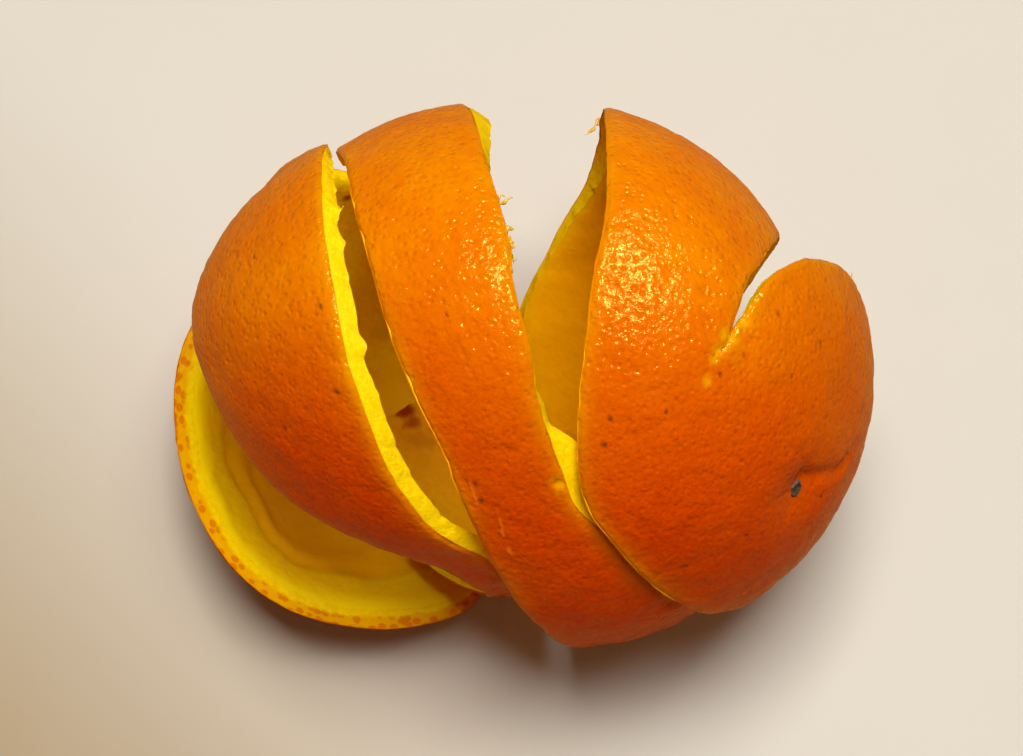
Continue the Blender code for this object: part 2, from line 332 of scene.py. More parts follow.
def lattice(ix, iy, iz, seed):
    """A fixed random number from -1 to 1 for each whole-number place."""
    n = (ix.astype(np.int64) * 73856093) ^ (iy.astype(np.int64) * 19349663) ^ (iz.astype(np.int64) * 83492791)
    n = (n + seed * 2654435) & 0xFFFFFFFF
    return scrambled(n.astype(np.uint64)).astype(float) / 2147483647.5 - 1.0


def noise(p, size, seed):
    """Smooth random value from -1 to 1, with bumps about size across."""
    q = p / size
    f = np.floor(q)
    t = q - f
    t = t * t * (3 - 2 * t)
    f = f.astype(np.int64)
    total = 0.0
    for dx in (0, 1):
        for dy in (0, 1):
            for dz in (0, 1):
                w = (t[..., 0] if dx else 1 - t[..., 0]) * (t[..., 1] if dy else 1 - t[..., 1])
                w = w * (t[..., 2] if dz else 1 - t[..., 2])
                total = total + w * lattice(f[..., 0] + dx, f[..., 1] + dy, f[..., 2] + dz, seed)
    return total


def layered(p, size, layers, seed):
    total = 0.0
    for k in range(layers):
        total = total + noise(p, size / 2 ** k, seed + k) / 2 ** k
    return total


def line_noise(x, seed):
    """Smooth random value from -1 to 1 along a line."""
    x = np.asarray(x, float)
    p = np.stack([x, np.full_like(x, 0.37), np.full_like(x, 0.61)], -1)
    return noise(p, 1.0, seed) * 1.3


# ================================================================ mesh building
def grid_quads(index):
    """Quads between neighbouring rows and columns of an array of corner numbers."""
    a = index[:-1, :-1]
    b = index[1:, :-1]
    c = index[1:, 1:]
    d = index[:-1, 1:]
    return np.stack([a, b, c, d], -1).reshape(-1, 4)


def corner_normals(points, quads):
    total = np.zeros_like(points)
    diag = np.cross(points[quads[:, 2]] - points[quads[:, 0]], points[quads[:, 3]] - points[quads[:, 1]])
    for k in range(4):
        np.add.at(total, quads[:, k], diag)
    return unit(total)


def make_mesh(name, points, quads, normals=None, marks=None, flip=False):
    """A mesh object from corners and quads; quads with repeated corners become triangles."""
    if flip:
        quads = quads[:, ::-1]
        if normals is not None:
            normals = -normals
    used = np.unique(quads)
    renumber = np.full(len(points), -1)
    renumber[used] = np.arange(len(used))
    quads = renumber[quads]
    repeated = np.zeros(len(quads), int)
    keep = np.ones((len(quads), 4), bool)
    for k in range(4):
        same = quads[:, k] == quads[:, (k + 1) % 4]
        keep[same, k] = False
        repeated += same
    quads = quads[repeated <= 1]
    keep = keep[repeated <= 1]
    corners = quads.reshape(-1)[keep.reshape(-1)]
    sizes = keep.sum(1)
    starts = np.concatenate([[0], np.cumsum(sizes)[:-1]])
    mesh = bpy.data.meshes.new(name)
    mesh.vertices.add(len(used))
    mesh.vertices.foreach_set("co", points[used].astype(np.float32).reshape(-1))
    mesh.loops.add(len(corners))
    mesh.loops.foreach_set("vertex_index", corners.astype(np.int32))
    mesh.polygons.add(len(sizes))
    mesh.polygons.foreach_set("loop_start", starts.astype(np.int32))
    mesh.update(calc_edges=True)
    mesh.validate()
    mesh.polygons.foreach_set("use_smooth", np.ones(len(mesh.polygons), bool))
    for mark, values in (marks or {}).items():
        values = np.asarray(values)[used].astype(np.float32)
        kind = "FLOAT_VECTOR" if values.ndim == 2 else "FLOAT"
        layer = mesh.attributes.new(mark, kind, "POINT")
        layer.data.foreach_set("vector" if values.ndim == 2 else "value", values.reshape(-1))
    if normals is not None:
        mesh.normals_split_custom_set_from_vertices([tuple(n) for n in normals[used]])
    obj = bpy.data.objects.new(name, mesh)
    bpy.context.scene.collection.objects.link(obj)
    return obj


# ================================================================ materials
def linear(r, g, b):
    """Scene colour of a colour given as seen, 0 to 255."""
    def one(c):
        c = c / 255.0
        return c / 12.92 if c <= 0.04045 else ((c + 0.055) / 1.055) ** 2.4
    return (one(r), one(g), one(b), 1.0)


class Nodes:
    """Short names for building a material's node tree."""

    def __init__(self, name):
        self.material = bpy.data.materials.new(name)
        self.material.use_nodes = True
        self.tree = self.material.node_tree
        self.shader = self.tree.nodes["Principled BSDF"]

    def add(self, kind, **settings):
        node = self.tree.nodes.new(kind)
        for key, value in settings.items():
            if isinstance(getattr(node, key, None), bpy.types.NodeInternal) or not hasattr(node, key):
                node.inputs[key].default_value = value
            else:
                setattr(node, key, value)
        return node

    def link(self, a, b):
        self.tree.links.new(a, b)

    def mark(self, name, vector=False):
        node = self.add("ShaderNodeAttribute", attribute_name=name)
        return node.outputs["Vector" if vector else "Fac"]

    def math(self, operation, a, b=None, clamp=False):
        node = self.add("ShaderNodeMath", operation=operation, use_clamp=clamp)
        for socket, value in zip(node.inputs, (a, b)):
            if value is None:
                continue
            if isinstance(value, (int, float)):
                socket.default_value = value
            else:
                self.link(value, socket)
        return node.outputs[0]

    def mix(self, factor, a, b, blend="MIX"):
        node = self.add("ShaderNodeMix", data_type="RGBA", blend_type=blend)
        for socket, value in ((node.inputs[0], factor), (node.inputs[6], a), (node.inputs[7], b)):
            if isinstance(value, (int, float, tuple)):
                socket.default_value = value
            else:
                self.link(value, socket)
        return node.outputs[2]

    def noise(self, where, scale, detail=3.0, rough=0.55):
        node = self.add("ShaderNodeTexNoise")
        node.inputs["Scale"].default_value = scale
        node.inputs["Detail"].default_value = detail
        node.inputs["Roughness"].default_value = rough
        self.link(where, node.inputs["Vector"])
        return node.outputs["Fac"]

    def cells(self, where, scale, feature="F1"):
        node = self.add("ShaderNodeTexVoronoi", feature=feature)
        node.inputs["Scale"].default_value = scale
        self.link(where, node.inputs["Vector"])
        return node.outputs["Distance"]

    def ramp(self, value, low, high):
        """0 to 1 as value goes from low to high."""
        node = self.add("ShaderNodeMapRange", interpolation_type="SMOOTHSTEP")
        node.inputs["From Min"].default_value = low
        node.inputs["From Max"].default_value = high
        self.link(value, node.inputs["Value"])
        return node.outputs["Result"]

    def bump(self, height, strength, distance, before=None):
        node = self.add("ShaderNodeBump")
        node.inputs["Strength"].default_value = strength
        node.inputs["Distance"].default_value = distance
        self.link(height, node.inputs["Height"])
        if before is not None:
            self.link(before, node.inputs["Normal"])
        return node.outputs["Normal"]


def zest_look():
    n = Nodes("zest")
    place = n.mark("place", vector=True)
    glands = n.mark("gland")
    near_cut = n.mark("near_cut")
    broad = n.noise(place, 0.055, 3.0)
    fine = n.noise(place, 0.5, 4.0, 0.6)
    pits = n.cells(place, 0.95)
    shade_red = n.mark("shade_red")
    orange = n.mix(n.ramp(broad, 0.35, 0.68), linear(228, 122, 0), linear(233, 137, 0))
    # Painted shade: the zest turns darker and redder towards the bottom and the front.
    orange = n.mix(shade_red, orange, linear(206, 50, 0))
    orange = n.mix(n.math("MULTIPLY", n.ramp(fine, 0.3, 0.75), 0.30), orange, linear(214, 90, 0))
    # Dark streaks of grain, laid only where the shade is painted, which deepen that painted shade.
    grain_in_shade = n.math("MULTIPLY", n.ramp(n.noise(place, 1.5, 2.0), 0.45, 0.65), n.math("MULTIPLY", shade_red, 0.35))
    orange = n.mix(grain_in_shade, orange, linear(168, 40, 0))
    orange = n.mix(n.math("MULTIPLY", glands, 0.35), orange, linear(204, 76, 0))
    orange = n.mix(n.math("MULTIPLY", near_cut, 0.75), orange, linear(222, 150, 0))
    orange = n.mix(n.math("MULTIPLY", n.mark("torn"), 0.65), orange, linear(232, 176, 4))
    orange = n.mix(n.math("MULTIPLY", n.mark("scratch"), 0.75), orange, linear(244, 122, 24))
    orange = n.mix(n.math("MULTIPLY", n.mark("speck"), 0.85), orange, linear(84, 40, 14))
    n.link(orange, n.shader.inputs["Base Color"])
    n.shader.inputs["Specular Tint"].default_value = (1.0, 0.84, 0.14, 1.0)
    rough = n.math("ADD", n.math("MULTIPLY", fine, 0.13), 0.085)
    n.link(n.math("ADD", rough, n.math("MULTIPLY", glands, 0.15)), n.shader.inputs["Roughness"])
    softer = n.math("SUBTRACT", 1.0, n.math("MULTIPLY", shade_red, 0.5))
    first = n.bump(n.math("MULTIPLY", n.ramp(pits, 0.0, 0.55), softer), 0.80, 0.00018)
    second = n.bump(n.noise(place, 1.1, 3.0), 0.6, 0.00030, first)
    n.link(n.bump(n.noise(place, 2.4, 2.0), 0.15, 0.00020, second), n.shader.inputs["Normal"])
    n.shader.inputs["Specular IOR Level"].default_value = 0.13
    return n.material


def pith_look():
    n = Nodes("pith")
    place = n.mark("place", vector=True)
    broad = n.noise(place, 0.07, 4.0)
    fine = n.noise(place, 0.9, 5.0, 0.65)
    yellow = n.mix(n.ramp(broad, 0.35, 0.7), linear(255, 206, 2), linear(255, 220, 8))
    yellow = n.mix(n.math("MULTIPLY", n.ramp(fine, 0.35, 0.75), 0.35), yellow, linear(236, 158, 0))
    n.shader.inputs["Specular Tint"].default_value = (1.0, 0.85, 0.5, 1.0)
    # Painted light: the pith in the open end is made a lighter yellow.
    yellow = n.mix(n.math("MULTIPLY", n.mark("light_in_open_end"), 0.35), yellow, linear(255, 232, 20))
    # Painted shade: deeper in the open end the pith turns darker orange.
    yellow = n.mix(n.math("MULTIPLY", n.mark("shade_deep_in_end"), 0.55), yellow, linear(252, 178, 0))
    # Painted shade on the pith inside the ball.
    yellow = n.mix(n.math("MULTIPLY", n.mark("shade_inside_ball"), 0.7), yellow, linear(232, 140, 0))
    yellow = n.mix(n.math("MULTIPLY", n.mark("near_cut"), 0.8), yellow, linear(255, 228, 8))
    # Painted shade along the pith's folds: darker orange in them.
    yellow = n.mix(n.math("MULTIPLY", n.mark("fold"), 0.40), yellow, linear(214, 124, 0))
    yellow = n.mix(n.math("MULTIPLY", n.mark("flesh"), 0.95), yellow, linear(156, 40, 0))
    n.link(yellow, n.shader.inputs["Base Color"])
    n.link(n.math("ADD", n.math("MULTIPLY", fine, 0.3), 0.45), n.shader.inputs["Roughness"])
    first = n.bump(n.noise(place, 0.8, 4.0, 0.6), 0.5, 0.0004)
    n.link(first, n.shader.inputs["Normal"])
    n.shader.inputs["Specular IOR Level"].default_value = 0.02
    return n.material


def cut_look():
    n = Nodes("cut_faces")
    place = n.mark("place", vector=True)
    deep = n.mark("deep")
    fine = n.noise(place, 1.1, 5.0, 0.65)
    ragged = n.math("ADD", deep, n.math("MULTIPLY", n.noise(place, 0.55, 2.0), 0.30))
    glands = n.ramp(n.cells(place, 0.62), 0.52, 0.34)
    band = n.math("MULTIPLY", n.ramp(ragged, 0.92, 0.64), n.mark("bowl"))
    yellow = n.mix(n.ramp(fine, 0.3, 0.7), linear(250, 206, 0), linear(255, 226, 12))
    both = n.mix(band, yellow, linear(240, 178, 0))
    both = n.mix(n.ramp(deep, 0.10, 0.02), both, linear(240, 134, 0))
    both = n.mix(n.math("MULTIPLY", glands, n.math("MULTIPLY", band, 0.85)), both, linear(224, 122, 0))
    n.link(both, n.shader.inputs["Base Color"])
    n.link(n.math("ADD", n.math("MULTIPLY", fine, 0.3), 0.45), n.shader.inputs["Roughness"])
    n.link(n.bump(n.noise(place, 1.4, 4.0, 0.6), 0.6, 0.0004), n.shader.inputs["Normal"])
    n.shader.inputs["Specular IOR Level"].default_value = 0.02
    return n.material


def floor_look():
    n = Nodes("floor")
    coords = n.add("ShaderNodeTexCoord").outputs["Object"]
    fine = n.noise(coords, 60.0, 3.0)
    parts = n.add("ShaderNodeSeparateXYZ")
    n.link(coords, parts.inputs[0])
    # Painted shade: the floor turns darker and browner towards the left front.
    across = n.math("MULTIPLY", parts.outputs["X"], -0.7)
    away = n.math("ADD", across, n.math("MULTIPLY", parts.outputs["Y"], -0.7))
    floor_shaded = n.mix(n.ramp(away, 0.0, 0.11), linear(218, 216, 208), linear(174, 154, 122))
    floor_shaded = n.mix(n.math("MULTIPLY", fine, 0.12), floor_shaded, linear(200, 196, 188))
    # Rays other than the camera's see a darker, browner floor, so less and browner light bounces onto the
    # peel.
    seen = n.add("ShaderNodeLightPath").outputs["Is Camera Ray"]
    n.link(n.mix(seen, linear(190, 140, 82), floor_shaded), n.shader.inputs["Base Color"])
    n.link(n.math("ADD", n.math("MULTIPLY", fine, 0.2), 0.6), n.shader.inputs["Roughness"])
    n.shader.inputs["Specular IOR Level"].default_value = 0.0
    return n.material


# ================================================================ oil glands
def gland_field():
    """Centres of the oil glands: spread evenly over the whole fruit, each a little off its place."""
    count = int(4 * math.pi * FRUIT_RADIUS ** 2 / GLAND_SPACING ** 2)
    k = np.arange(count)
    z = 1 - 2 * (k + 0.5) / count
    a = k * math.pi * (3 - math.sqrt(5))
    r = np.sqrt(1 - z * z)
    centres = np.stack([r * np.cos(a), r * np.sin(a), z], -1)
    jitter = np.stack([lattice(k, k * 0 + 3, k * 0 + s, 5) for s in (1, 2, 3)], -1)
    centres = unit(centres + jitter * 0.36 * GLAND_SPACING / FRUIT_RADIUS) * FRUIT_RADIUS
    size = 0.44 + 0.12 * lattice(k, k * 0 + 9, k * 0, 6)
    depth = 0.6 + 0.4 * lattice(k, k * 0 + 4, k * 0, 7)
    tree = KDTree(count)
    for i, c in enumerate(centres):
        tree.insert(c, i)
    tree.balance()
    return tree, size, depth


def gland_values(points):
    """How deep in an oil gland's dimple each spot of the fruit lies, 0 to 1."""
    tree, size, depth = gland_field()
    near = np.empty(len(points), int)
    far = np.empty(len(points))
    for i, p in enumerate(points.tolist()):
        found = tree.find(p)
        near[i] = found[1]
        far[i] = found[2]
    return np.exp(-((far / size[near]) ** 2)) * depth[near]


# ================================================================ the skin as grids
def stations(step):
    marks = [CUT_START - 360.0, CUT_START, CUT_END - 360.0, CUT_END]
    out = [np.array([marks[0]])]
    for a, b in zip(marks, marks[1:]):
        n = max(1, round((b - a) / step))
        out.append(a + (b - a) * np.arange(1, n + 1) / n)
    turns = np.concatenate(out)
    first_free = int(np.argmin(abs(turns - CUT_START)))
    last_free = int(np.argmin(abs(turns - (CUT_END - 360.0))))
    return turns, first_free, last_free


class Layer:
    """One face of the skin, zest or pith, as a strip and two discs that share corners."""

    def __init__(self, step, across, rings, depth):
        turns, a, b = stations(step)
        rows = len(turns)
        low = stem_side(turns, depth)
        high = blossom_side(turns, depth)
        share = np.arange(across + 1) / across
        t = np.repeat(turns[:, None], across + 1, 1)
        d = low[:, None] + (high - low)[:, None] * share
        strip = np.arange(rows * (across + 1)).reshape(rows, across + 1)
        strip[0, :] = strip[a, 0]
        strip[-1, :] = strip[b, across]
        turn = [t.reshape(-1)]
        down = [d.reshape(-1)]
        count = rows * (across + 1)
        k = np.arange(rings) / rings
        stem_t = np.repeat(turns[:a + 1, None], rings, 1)
        stem_d = inner_rim(turns[:a + 1])[:, None] * k
        stem = count + np.arange((a + 1) * rings).reshape(a + 1, rings)
        stem[:, 0] = stem[0, 0]
        stem[-1, :] = stem[0, :]
        stem = np.concatenate([stem, strip[:a + 1, :1]], 1)
        stem[0, -1] = stem[-1, -1]
        count += (a + 1) * rings
        turn.append(stem_t.reshape(-1))
        down.append(stem_d.reshape(-1))
        rim = outer_rim(turns[b:])
        end_t = np.repeat(turns[b:, None], rings, 1)
        end_d = rim[:, None] + (180.0 - rim)[:, None] * (np.arange(1, rings + 1) / rings)
        end = count + np.arange((rows - b) * rings).reshape(rows - b, rings)
        end[:, -1] = end[0, -1]
        end[-1, :] = end[0, :]
        end = np.concatenate([strip[b:, across:], end], 1)
        end[-1, 0] = end[0, 0]
        turn.append(end_t.reshape(-1))
        down.append(end_d.reshape(-1))
        self.turns = turns
        self.turn = np.concatenate(turn)
        self.down = np.concatenate(down)
        self.strip = strip
        self.stem = stem
        self.end = end
        self.quads = np.concatenate([grid_quads(strip), grid_quads(stem), grid_quads(end)])
        self.fruit = on_fruit(self.turn, self.down) * FRUIT_RADIUS
        self.edge = self.edge_distance(depth)

    def edge_distance(self, depth):
        """Millimetres along the skin to the nearest side of the cut, roughly."""
        t = self.turn
        low = np.where(t > CUT_START, stem_side(t, depth), -90.0)
        high = np.where(t < CUT_END - 360.0, blossom_side(t, depth), 270.0)
        from_low = (self.down - low)
        from_high = (high - self.down)
        return np.radians(np.maximum(np.minimum(from_low, from_high), 0.0)) * FRUIT_RADIUS

    def split(self, cuts):
        """The quads in groups: rows of the strip between the cuts, discs with the end groups."""
        groups = []
        limits = [self.turns[0] - 1] + list(cuts) + [self.turns[-1] + 1]
        for a, b in zip(limits, limits[1:]):
            rows = np.nonzero((self.turns >= a) & (self.turns <= b))[0]
            last = min(rows[-1] + 2, len(self.turns)) if b < self.turns[-1] else rows[-1] + 1
            groups.append([grid_quads(self.strip[rows[0]:last])])
        groups[0].append(grid_quads(self.stem))
        groups[-1].append(grid_quads(self.end))
        return [np.concatenate(g) for g in groups]


def low_front_shade(points, fruit):
    """Painted shade: how much darker and redder the zest is made, most towards the bottom and the front, with
    soft patches at random.
    """
    low = smooth((0.058 - points[:, 2]) / 0.040)
    front = smooth((0.014 - points[:, 1]) / 0.044)
    patch = layered(fruit, 16.0, 2, 80) * 0.14
    return np.clip(0.35 * low + 0.95 * front + patch - 0.04, 0.0, 1.0)


def elsewhere(layer, turn, down):
    """A large number where the skin passes the same place of the fruit on another lap."""
    return np.where((abs(layer.turn - turn) > 100.0) & (down > 25.0) & (down < 150.0), 99.0, 0.0)


def spot(layer, turn, down):
    """Distance in mm over the fruit from one place on it."""
    centre = on_fruit(np.array(float(turn)), np.array(float(down))) * FRUIT_RADIUS
    return np.linalg.norm(layer.fruit - centre, axis=-1) + elsewhere(layer, turn, down)


def stroke(layer, first, last):
    """Distance in mm from a short straight line over the fruit."""
    fruit = layer.fruit
    a = on_fruit(np.array(float(first[0])), np.array(float(first[1]))) * FRUIT_RADIUS
    b = on_fruit(np.array(float(last[0])), np.array(float(last[1]))) * FRUIT_RADIUS
    share = np.clip((fruit - a) @ (b - a) / max((b - a) @ (b - a), 1e-9), 0.0, 1.0)
    away = np.linalg.norm(fruit - a - share[:, None] * (b - a), axis=-1)
    return away + elsewhere(layer, first[0], first[1])


def zest_marks(layer):
    """Specks, scratches, torn spots, and the crease by the stem, each 0 to 1."""
    fruit = layer.fruit
    uneven = 1.0 + 0.35 * noise(fruit, 0.7, 95)
    speck = np.zeros(len(fruit))
    for turn, down, size in SPECKS:
        speck = np.maximum(speck, np.exp(-((spot(layer, turn, down) * uneven / size) ** 4)))
    scratch = np.zeros(len(fruit))
    for first, last, size in SCRATCHES:
        scratch = np.maximum(scratch, np.exp(-((stroke(layer, first, last) * uneven / size) ** 4)))
    torn = np.zeros(len(fruit))
    for turn, down, size in TORN_SPOTS:
        torn = np.maximum(torn, np.exp(-((spot(layer, turn, down) * uneven / size) ** 2)))
    crease = np.zeros(len(fruit))
    for k in range(len(CREASE) - 1):
        away = stroke(layer, CREASE[k], CREASE[k + 1])
        crease = np.maximum(crease, CREASE_DEEP[k] * np.exp(-((away / 1.25) ** 2)))
    return speck, scratch, torn, crease


def stem_puckers(fruit):
    """Small ridges that run out from the stem button, in mm."""
    right = unit(np.cross(np.array([0.0, 0.0, 1.0]), SCAR))
    up = np.cross(SCAR, right)
    x = fruit @ right
    y = fruit @ up
    away = np.hypot(x, y)
    front = (fruit @ SCAR) > 0
    ridges = np.cos(7 * np.arctan2(y, x) + 1.5 * np.sin(3 * np.arctan2(y, x)))
    return front * RIDGE_HEIGHT * ridges * np.exp(-(((away - 3.4) / 2.2) ** 2))


def zest_pieces():
    layer = Layer(ZEST_STEP, ZEST_ACROSS, ZEST_RINGS, 0.0)
    gland = gland_values(layer.fruit)
    plain = placed(layer.turn, layer.down, np.zeros(len(layer.turn))) * 1000.0
    swell = layered(plain, 11.0, 2, 40) * 0.16 + layered(plain, 2.6, 3, 50) * 0.13
    neck = np.exp(-((spot(layer, *NECK_AT) / NECK_SPREAD) ** 4))
    gland = gland * (1.0 - 0.8 * neck)
    rounded = 0.35 * np.exp(-((layer.edge / 0.45) ** 2))
    speck, scratch, torn, crease = zest_marks(layer)
    depth = -swell + gland * 0.034 + rounded + speck * 0.12 - scratch * 0.10 + crease * 0.75
    depth = depth + stem_puckers(layer.fruit) + torn * 0.25 * (1 + noise(layer.fruit, 0.8, 96))
    points = placed(layer.turn, layer.down, depth)
    normals = corner_normals(points, layer.quads)
    marks = {
        "place": points * 1000.0,
        "gland": gland,
        "near_cut": np.exp(-layer.edge / 1.3) * (0.75 + 0.5 * noise(layer.fruit, 5.0, 98)),
        "shade_red": low_front_shade(points, layer.fruit),
        "speck": speck,
        "scratch": scratch,
        "torn": torn,
    }
    made = []
    for k, quads in enumerate(layer.split(ZEST_SPLITS)):
        made.append(make_mesh(f"zest_{k + 1}", points, quads, normals, marks))
    return made


def pith_piece():
    layer = Layer(PITH_STEP, PITH_ACROSS, PITH_RINGS, RIND)
    folds = layered(layer.fruit, 8.0, 3, 60) * 0.30 + layered(layer.fruit, 1.8, 2, 70) * 0.10
    inward = layer.edge + layered(layer.fruit, 9.0, 2, 62) * 2.2
    in_bowl = smooth((layer.turn - 960.0) / 40.0)
    fold = np.zeros(len(inward))
    for middle, half, strength in BOWL_FOLDS:
        fold = np.maximum(fold, strength * in_bowl * np.exp(-(((inward - middle) / half) ** 2)))
    swelling = in_bowl * np.exp(-(((inward - 12.5) / 1.8) ** 2))
    depth = RIND + folds - 0.9 * np.exp(-layer.edge / 1.2) - 0.30 * fold + 0.4 * swelling
    points = placed(layer.turn, layer.down, depth)
    normals = corner_normals(points, layer.quads)
    flesh = np.zeros(len(depth))
    uneven = 1.0 + 0.5 * layered(layer.fruit, 1.6, 2, 97)
    for turn, down, size, strength in FLESH_SPOTS:
        near = np.exp(-((spot(layer, turn, down) * uneven / size) ** 4))
        flesh = np.maximum(flesh, strength * near)
    # Painted shade: the pith of the laps inside the ball is made darker and more orange.
    shade_inside_ball = smooth((layer.turn - 20.0) / 60.0) * smooth((680.0 - layer.turn) / 60.0)
    marks = {
        "place": points * 1000.0,
        "flesh": flesh,
        "near_cut": np.exp(-layer.edge / 2.4) * (1.0 - 0.7 * shade_inside_ball),
        "shade_inside_ball": shade_inside_ball,
        "light_in_open_end": in_bowl,
        "shade_deep_in_end": in_bowl * smooth((inward - 7.5) / 3.0),
        # The folds' mask also carries their painted shade.
        "fold": fold * (0.75 + 0.4 * layered(layer.fruit, 3.0, 2, 63)),
    }
    return make_mesh("pith", points, layer.quads, normals, marks, flip=True)


def cut_piece():
    """The face of the cut on both sides, from the zest down to the pith."""
    turns = np.arange(0, round((CUT_END - CUT_START) / CUT_STEP) + 1) * CUT_STEP + CUT_START
    turns[-1] = CUT_END
    share = np.arange(CUT_LAYERS + 1) / CUT_LAYERS
    all_points = []
    all_quads = []
    all_marks = {"place": [], "deep": [], "bowl": []}
    count = 0
    for side in (1, -1):
        t = np.repeat(turns[:, None], CUT_LAYERS + 1, 1)
        s = np.repeat(share[None], len(turns), 0)
        depth = s * RIND
        if side == 1:
            at = t
            d = stem_side(t + 1e-6, depth)
        else:
            at = t - 360.0
            d = blossom_side(at - 1e-6, depth)
        fruit = on_fruit(at, d) * (FRUIT_RADIUS - depth[..., None])
        fold = layered(on_fruit(at, d) * FRUIT_RADIUS, 8.0, 3, 60) * 0.30
        fold = fold + layered(on_fruit(at, d) * FRUIT_RADIUS, 1.8, 2, 70) * 0.10
        depth = depth + fold * s + 0.35 * (1 - s) ** 4 - 0.9 * s
        bulge = np.degrees((noise(fruit, 1.3, 90) * 0.16 + noise(fruit, 0.5, 91) * 0.07) / FRUIT_RADIUS)
        d = d + side * bulge * np.sin(np.pi * s) * opened(t)
        points = placed(at, d, depth)
        index = count + np.arange(points[..., 0].size).reshape(len(turns), -1)
        quads = grid_quads(index)
        all_quads.append(quads if side == -1 else quads[:, ::-1])
        all_points.append(points.reshape(-1, 3))
        all_marks["place"].append(fruit.reshape(-1, 3))
        all_marks["deep"].append(s.reshape(-1))
        all_marks["bowl"].append((smooth((t - 1020.0) / 25.0) * (side == 1)).reshape(-1))
        count += points[..., 0].size
    points = np.concatenate(all_points)
    quads = np.concatenate(all_quads)
    marks = {name: np.concatenate(values) for name, values in all_marks.items()}
    return make_mesh("cut_faces", points, quads, corner_normals(points, quads), marks)



def stem_button():
    """The dry scar where the stem came off, sunk in its pucker."""
    rings = 10
    around = 40
    right = unit(np.cross(np.array([0.0, 0.0, 1.0]), SCAR))
    up = np.cross(SCAR, right)
    tilt = math.radians(52.0)
    long_way = math.cos(tilt) * right + math.sin(tilt) * up
    short_way = -math.sin(tilt) * right + math.cos(tilt) * up
    a = np.arange(around) / around * 2 * math.pi
    r = np.arange(rings + 1) / rings
    ragged = 1.0 + 0.10 * np.cos(5 * a + 0.7) + 0.07 * np.cos(9 * a)
    x = r[:, None] * (1.50 * np.cos(a) * ragged)[None]
    y = r[:, None] * (1.15 * np.sin(a) * ragged)[None]
    rim = 0.30 * np.exp(-(((r - 0.72) / 0.2) ** 2))[:, None]
    lines = 0.07 * np.cos(11 * a)[None] * r[:, None]
    dome = 0.30 * (1 - r ** 2)[:, None]
    height = 0.10 + dome + rim + lines - 0.9 * np.clip(r - 0.85, 0, 1)[:, None]
    base = LUMP + SCAR * (FRUIT_RADIUS - STEM_PUCKER - 0.20)
    p = base + x[..., None] * long_way + y[..., None] * short_way + height[..., None] * SCAR
    p[..., 2] -= FLAT_SPOT
    p = p.reshape(-1, 3) * 0.001
    index = np.arange((rings + 1) * around).reshape(rings + 1, around)
    index[0, :] = 0
    index = np.concatenate([index, index[:, :1]], 1)
    quads = grid_quads(index)
    marks = {"place": p * 1000.0, "out": np.repeat(r, around)}
    return make_mesh("stem_button", p, quads, corner_normals(p, quads), marks)


def button_look():
    n = Nodes("stem_button")
    place = n.mark("place", vector=True)
    fine = n.noise(place, 3.0, 4.0, 0.6)
    dry = n.mix(n.ramp(fine, 0.3, 0.7), linear(40, 34, 22), linear(84, 78, 56))
    dry = n.mix(n.ramp(n.mark("out"), 0.7, 1.0), dry, linear(120, 62, 12))
    n.link(dry, n.shader.inputs["Base Color"])
    n.link(n.math("ADD", n.math("MULTIPLY", fine, 0.2), 0.6), n.shader.inputs["Roughness"])
    n.link(n.bump(fine, 0.7, 0.0003), n.shader.inputs["Normal"])
    return n.material


# Loose fibres: place on the skin (angle turned, degrees down, mm deep), where the far end goes
# from there in mm (x, y, z), how far it bows sideways in mm, and its thickness in mm.
FIBRES = (
    ((160.0, 102.6, 1.0), (-2.0, -2.3, 0.3), -0.5, 0.50), ((163.0, 103.0, 1.4), (-1.3, -1.2, 0.3), 0.3, 0.34),
    ((-195.0, 49.5, 0.8), (0.9, 0.7, 0.3), 0.4, 0.34), ((-193.0, 49.6, 1.2), (0.8, 0.2, 0.5), -0.4, 0.28),
    ((467.5, 76.6, 1.8), (1.9, 0.8, 0.3), 0.25, 0.60), ((469.0, 77.2, 2.2), (1.0, 0.3, 0.3), -0.2, 0.50),
    ((461.5, 73.6, 2.2), (1.1, 0.5, 0.2), 0.2, 1.00), ((460.0, 73.0, 2.4), (1.2, -0.5, 0.0), 0.2, 0.90),
    ((458.5, 72.2, 2.2), (0.9, -0.9, 0.1), -0.2, 0.70), ((455.5, 70.6, 2.4), (0.8, -0.4, 0.1), 0.2, 0.40),
    ((408.0, 56.5, 2.4), (1.6, 0.6, 0.2), 0.4, 0.40), ((405.0, 55.0, 2.8), (1.8, -0.4, 0.0), -0.4, 0.36),
    ((402.0, 53.6, 2.6), (1.7, -1.2, -0.4), 0.4, 0.36), ((398.5, 52.2, 2.4), (1.5, -1.6, -0.6), 0.3, 0.28),
    ((795.0, 86.6, 2.4), (1.3, -0.2, 0.3), 0.3, 0.46), ((793.0, 86.2, 2.8), (1.1, -0.8, 0.2), 0.3, 0.40),
    ((825.0, 97.0, 2.4), (1.0, 0.3, 0.2), 0.3, 0.38), ((816.0, 93.4, 2.6), (0.9, -0.3, 0.2), -0.3, 0.34),
    ((98.5, 46.4, 1.0), (0.9, 0.9, -0.2), 0.2, 0.30), ((100.0, 46.6, 1.6), (1.1, 0.6, -0.3), -0.2, 0.26),
    ((101.5, 47.0, 1.2), (0.5, 1.2, -0.2), 0.3, 0.22), ((97.0, 46.0, 1.8), (0.8, 0.8, -0.5), 0.2, 0.34),
)


